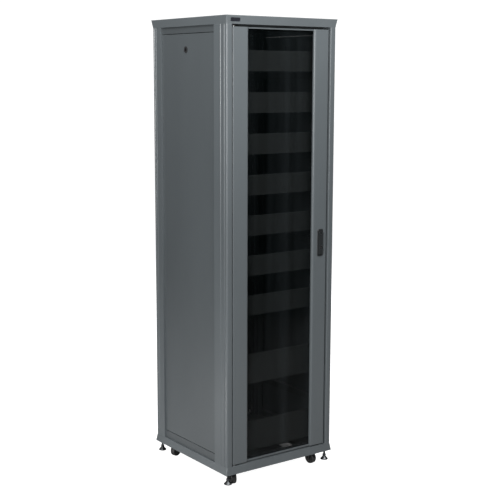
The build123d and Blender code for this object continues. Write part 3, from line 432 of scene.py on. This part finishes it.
def cable_brush(name):
    low, high, middle = cad_box_mm(name)
    half_slot = high.y - middle.y - CARRIER_D
    first_x = low.x + BRISTLE_END
    span_x = high.x - low.x - 2 * BRISTLE_END
    brush = Builder()
    for side in (-1, 1):
        near = middle.y + side * half_slot
        low_y, high_y = sorted((near, near + side * CARRIER_D))
        carrier = [(low.x, low_y), (high.x, low_y), (high.x, high_y), (low.x, high_y)]
        brush.prism(carrier, low.z, high.z, mm)
        for index in range(BRISTLES):
            x = first_x + span_x * index / (BRISTLES - 1)
            lean = 0.9 * sin(index * 2.399)
            droop = 0.5 * sin(index * 1.7 + side)
            tip = middle.y + side * (BRISTLE_GAP + 0.5 * sin(index * 5.1))
            root = near + side * 0.5
            brush.bristle(((x, root, middle.z), ROOT_HALF), ((x + lean, tip, middle.z + droop), TIP_HALF))
    mesh_piece(f"{name}_bristles", brush, "frame", "brush_bristle", name, smooth=False)


cable_brush("cable_brush")

# Fan impellers: domed hub and curved, twisted blades, with heights from the hub's open end.
FAN_BORE = 2.05
FAN_MIDDLE = 10.0
HUB_DOME = ((FAN_BORE, 10), (FAN_BORE, 0), (20.4, 0), (21, 0.6), (21, 17), (20.2, 19), (18, 20), (0, 20))
BLADES = 7
BLADE_IN = 20.0
BLADE_LEN = 35.0
BLADE_STEPS = 8
BLADE_HALF_T = 0.7
CAMBER = 1.6


def blade_points(number, place):
    """Upper and lower face of one blade, from root to tip and from trailing to leading edge."""
    points = []
    for face in (1, -1):
        for i in range(BLADE_STEPS + 1):
            t = i / BLADE_STEPS
            radius = BLADE_IN + BLADE_LEN * t
            pitch = radians(46 - 16 * t)
            chord = 21 + 5 * t
            for j in range(BLADE_STEPS + 1):
                u = j / BLADE_STEPS - 0.5
                around = 2 * pi * number / BLADES + u * chord * cos(pitch) / radius + 0.12 * t
                height = FAN_MIDDLE + u * chord * sin(pitch) + CAMBER * (1 - 4 * u * u)
                height += face * BLADE_HALF_T * (1 - 0.6 * abs(2 * u))
                points.append(place(radius * cos(around), radius * sin(around), height))
    return points


def fan_impeller(side):
    name = f"fan_impeller_{side}"
    middle, _ = joint_place(f"fan_{side}_spin")

    def at_fan(x, y, z):
        return mm(middle.x + x, middle.y + y, middle.z - FAN_MIDDLE + z)

    fan = Builder()
    fan.lathe(((0, FAN_MIDDLE), *HUB_DOME), at_fan, 48)
    for number in range(BLADES):
        fan.shell(blade_points(number, at_fan), BLADE_STEPS, BLADE_STEPS)
    mesh_piece(f"{name}_blades", fan, name, "fan_plastic", name)


for side in ("left", "right"):
    fan_impeller(side)

# Rounded edges on small moulded and cast pieces.
for name, width in (
    ("handle_lever", 0.0012),
    ("handle_base", 0.0006),
    ("handle_rotor", 0.0004),
    ("lock_plug", 0.0003),
    ("side_lock_barrel_left", 0.0006),
    ("side_lock_barrel_right", 0.0006),
    ("rear_lock_barrel", 0.0006),
    ("badge_plate", 0.0003),
):
    rounding = nodes[name].modifiers.new("rounding", "BEVEL")
    rounding.width = width
    rounding.segments = 3
    rounding.limit_method = "ANGLE"
    rounding.angle_limit = radians(40)
    rounding.use_clamp_overlap = True

# ---------------------------------------------------------------- room



def straight_view(tree):
    """1 where the camera looks at a surface directly, 0 in bounced light and behind the tinted glass."""
    path = tree.nodes.new("ShaderNodeLightPath")
    less = tree.nodes.new("ShaderNodeMath")
    less.operation = "SUBTRACT"
    less.use_clamp = True
    tree.links.new(path.outputs["Is Camera Ray"], less.inputs[0])
    tree.links.new(path.outputs["Transparent Depth"], less.inputs[1])
    return less.outputs["Value"]


def studio_sheet(name, size, material):
    """A flat rectangle about its own centre that belongs to the studio."""
    w, h = size[0] / 2, size[1] / 2
    mesh = bpy.data.meshes.new(name)
    mesh.from_pydata([(-w, -h, 0), (w, -h, 0), (w, h, 0), (-w, h, 0)], [], [(0, 1, 2, 3)])
    mesh.materials.append(material.mat)
    obj = bpy.data.objects.new(name, mesh)
    bpy.context.scene.collection.objects.link(obj)
    return obj


def aim(obj, place, target):
    obj.location = place
    obj.rotation_euler = (Vector(target) - Vector(place)).to_track_quat("-Z", "Y").to_euler()


FLOOR_SIZE = 60.0
floor_mat = Material("floor_white", 0.7, specular=0.1)
clouds = floor_mat.noise(1.5, 3.0)
tone = floor_mat.ramp(clouds, (0.3, (0.38, 0.38, 0.38)), (0.7, (0.40, 0.40, 0.40)))
floor_mat.set(color=tone)
floor_mat.shader.inputs["Emission Color"].default_value = (1.0, 1.0, 1.0, 1.0)
glow = floor_mat.spread(straight_view(floor_mat.tree), 0.0, 1.0)
floor_mat.link(glow, floor_mat.shader.inputs["Emission Strength"])
studio_sheet("floor", (FLOOR_SIZE, FLOOR_SIZE), floor_mat)

world = bpy.data.worlds.new("studio")
bpy.context.scene.world = world
world.use_nodes = True
background = world.node_tree.nodes["Background"]
background.inputs["Color"].default_value = (1.0, 1.0, 1.0, 1.0)
power = world.node_tree.nodes.new("ShaderNodeMapRange")
power.inputs["To Min"].default_value = 0.10
power.inputs["To Max"].default_value = 1.1
world.node_tree.links.new(straight_view(world.node_tree), power.inputs["Value"])
world.node_tree.links.new(power.outputs["Result"], background.inputs["Strength"])


def area_light(name, place, target, size, power):
    data = bpy.data.lights.new(name, "AREA")
    data.shape = "RECTANGLE"
    data.size, data.size_y = size
    data.energy = power
    lamp = bpy.data.objects.new(name, data)
    aim(lamp, place, target)
    bpy.context.scene.collection.objects.link(lamp)


def card(name, place, target, size, colour):
    """A dark studio card that stands out of the picture and is seen only in reflections."""
    m = Material(name, 0.9, specular=0.0)
    m.shader.inputs["Base Color"].default_value = (*colour, 1.0)
    obj = studio_sheet(name, size, m)
    aim(obj, place, target)
    obj.visible_camera = False


area_light("key", (-3.2, -2.4, 2.2), (-0.2, -0.2, 1.8), (0.6, 1.7), 150)
area_light("front", (-0.2, -1.8, 3.4), (0.05, -0.3, 1.9), (2.4, 1.6), 120)
area_light("side", (-1.7, 0.3, 3.3), (-0.3, 0.0, 1.9), (0.8, 0.8), 26)
area_light("low", (-1.3, 0.1, 0.08), (-0.3, 0.0, 0.2), (1.0, 0.12), 5)
area_light("back", (2.6, 3.4, 3.2), (0, 0, 1.0), (3.2, 3.2), 150)
card("card_right", (2.2, -2.6, 1.3), (0, -0.3, 1.1), (3.6, 3.0), (0.02, 0.02, 0.02))
card("card_back", (-2.4, 2.8, 0.95), (-0.3, 0, 0.95), (2.6, 1.7), (0.03, 0.03, 0.03))

bpy.context.scene.view_settings.view_transform = "Standard"

# ---------------------------------------------------------------- camera

camera_data = bpy.data.cameras.new("camera")
camera = bpy.data.objects.new("camera", camera_data)
camera_data.sensor_width = 36.0
camera_data.lens = 77.6
CAMERA_YAW = 36.0
CAMERA_PITCH = 9.1
CAMERA_ROLL = 0.16
camera.location = (-2.8786, -4.0191, 1.80)
yaw = Matrix.Rotation(radians(-CAMERA_YAW), 4, "Z")
pitch = Matrix.Rotation(radians(90 - CAMERA_PITCH), 4, "X")
roll = Matrix.Rotation(radians(CAMERA_ROLL), 4, "Z")
camera.rotation_euler = (yaw @ pitch @ roll).to_euler()
bpy.context.scene.collection.objects.link(camera)
bpy.context.scene.camera = camera
